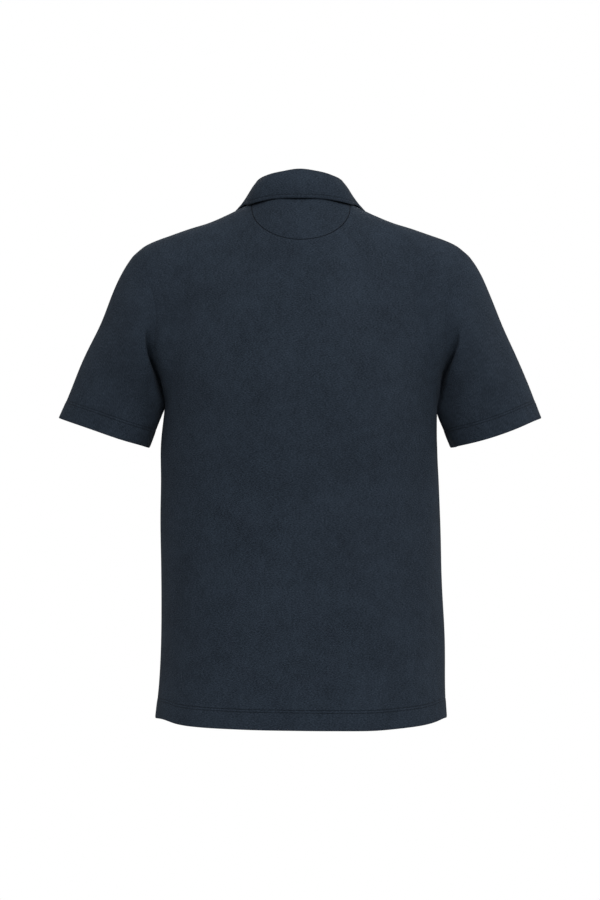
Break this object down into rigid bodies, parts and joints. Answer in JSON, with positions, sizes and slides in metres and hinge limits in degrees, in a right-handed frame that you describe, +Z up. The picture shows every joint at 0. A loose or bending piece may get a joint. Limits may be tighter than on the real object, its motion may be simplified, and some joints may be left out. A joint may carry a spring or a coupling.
{
  "type": "polo shirt",
  "caption": "Short-sleeve knitted polo shirt in its worn form, with a turned-down collar, a buttoned neck placket and open neck, cuffs and hem.",
  "frame": {"origin": "the middle of the neck opening, level with the tops of the shoulders, where the wearer holds the shirt up", "axes": "+Z up along the wearer's body, -Y the way the wearer faces (the placket's side), +Y the back, +X the wearer's left"},
  "size_m": [0.6744, 0.2899, 0.7536],
  "materials": {
    "body_knit": "matt fine knit, dark navy with a faint heather",
    "collar_knit": "matt flat knit, dark navy",
    "button": "satin, dark navy"
  },
  "bodies": {
    "root": {"back": "body_knit", "front": "body_knit", "sleeve_left": "body_knit", "sleeve_right": "body_knit", "neck_patch": "body_knit", "placket_upper": "body_knit", "placket_under": "body_knit", "collar_stand": "collar_knit", "collar_leaf": "collar_knit", "button_1": "button", "button_2": "button", "button_3": "button"}
  },
  "joints": []
}
